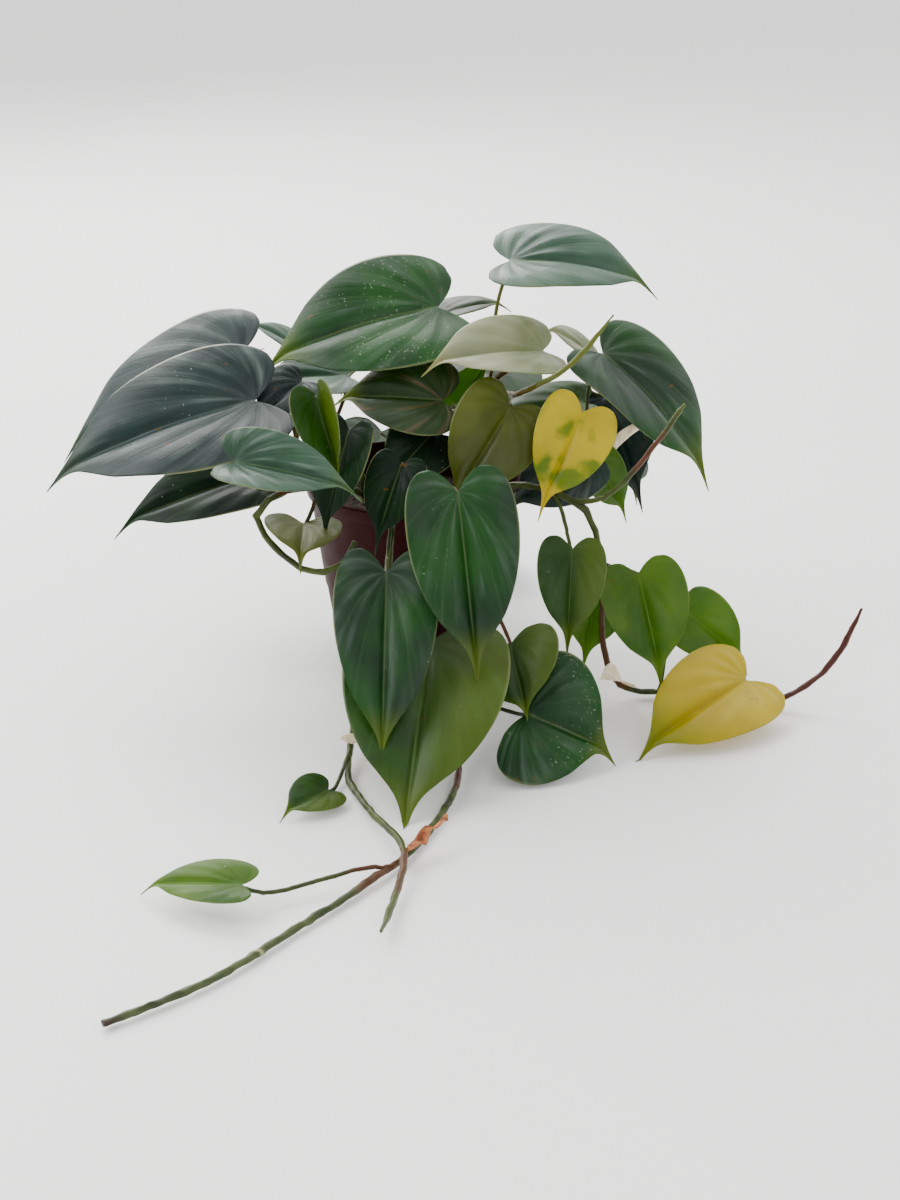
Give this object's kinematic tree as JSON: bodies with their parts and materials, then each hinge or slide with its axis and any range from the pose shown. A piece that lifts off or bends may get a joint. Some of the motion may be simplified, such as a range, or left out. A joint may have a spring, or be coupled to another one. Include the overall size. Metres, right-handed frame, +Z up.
{
  "type": "potted philodendron",
  "caption": "Trailing heart-leaf houseplant in a round tapered plastic nursery pot, with vines spilling over the rim and running out along the surface it stands on.",
  "frame": {"origin": "middle of the pot's flat base, on the surface the pot stands on", "axes": "+Z up along the pot's axis; -Y towards the side where the vines trail furthest; +X to the right seen from that side"},
  "size_m": [0.4524, 0.5257, 0.2547],
  "materials": {
    "pot_plastic": "maroon moulded polypropylene, satin",
    "soil": "moist peaty potting mix, crumbly",
    "vine": "green-grey herbaceous stem, satin",
    "leaf_slate": "slate blue-green waxy leaf",
    "leaf_deep": "deep green waxy leaf",
    "leaf_pale": "pale sheened young leaf",
    "leaf_olive": "olive waxy leaf",
    "leaf_yellow": "ageing yellow leaf",
    "leaf_bright": "fresh bright green leaf",
    "dry_sheath": "dry papery sheath, matt"
  },
  "bodies": {
    "root": {"nursery_pot": "pot_plastic", "potting_soil": "soil", "vine_crown": "vine", "vine_right": "vine", "vine_left": "vine", "vine_left_trail": "vine", "vine_front": "vine", "vine_front_shoot": "vine", "vine_right_trail": "vine", "vine_back": "vine", "leaf_01": "leaf_slate", "leaf_02": "leaf_deep", "leaf_03": "leaf_pale", "leaf_04": "leaf_pale", "leaf_06": "leaf_pale", "leaf_07": "leaf_deep", "leaf_08": "leaf_deep", "leaf_10": "leaf_deep", "leaf_14": "leaf_olive", "leaf_15": "leaf_yellow", "leaf_16": "leaf_deep", "leaf_17": "leaf_deep", "leaf_18": "leaf_bright", "leaf_19": "leaf_slate", "leaf_20": "leaf_slate", "leaf_21": "leaf_slate", "leaf_23": "leaf_pale", "leaf_24": "leaf_pale", "leaf_25": "leaf_deep", "leaf_26": "leaf_deep", "leaf_27": "leaf_olive", "leaf_28": "leaf_slate", "leaf_29": "leaf_deep", "leaf_30": "leaf_deep", "leaf_31": "leaf_deep", "leaf_34": "leaf_deep", "leaf_35": "leaf_deep", "leaf_36": "leaf_olive", "leaf_37": "leaf_olive", "leaf_38": "leaf_deep", "leaf_39": "leaf_bright", "leaf_40": "leaf_bright", "leaf_41": "leaf_bright", "leaf_42": "leaf_yellow", "leaf_43": "leaf_olive", "leaf_44": "leaf_deep", "leaf_46": "leaf_deep", "leaf_47": "leaf_deep", "leaf_51": "leaf_deep", "leaf_52": "leaf_deep", "leaf_53": "leaf_deep", "leaf_54": "leaf_deep", "leaf_55": "leaf_deep", "leaf_56": "leaf_deep", "sheath_1": "dry_sheath", "sheath_2": "dry_sheath", "sheath_3": "dry_sheath", "sheath_4": "dry_sheath"}
  },
  "joints": []
}
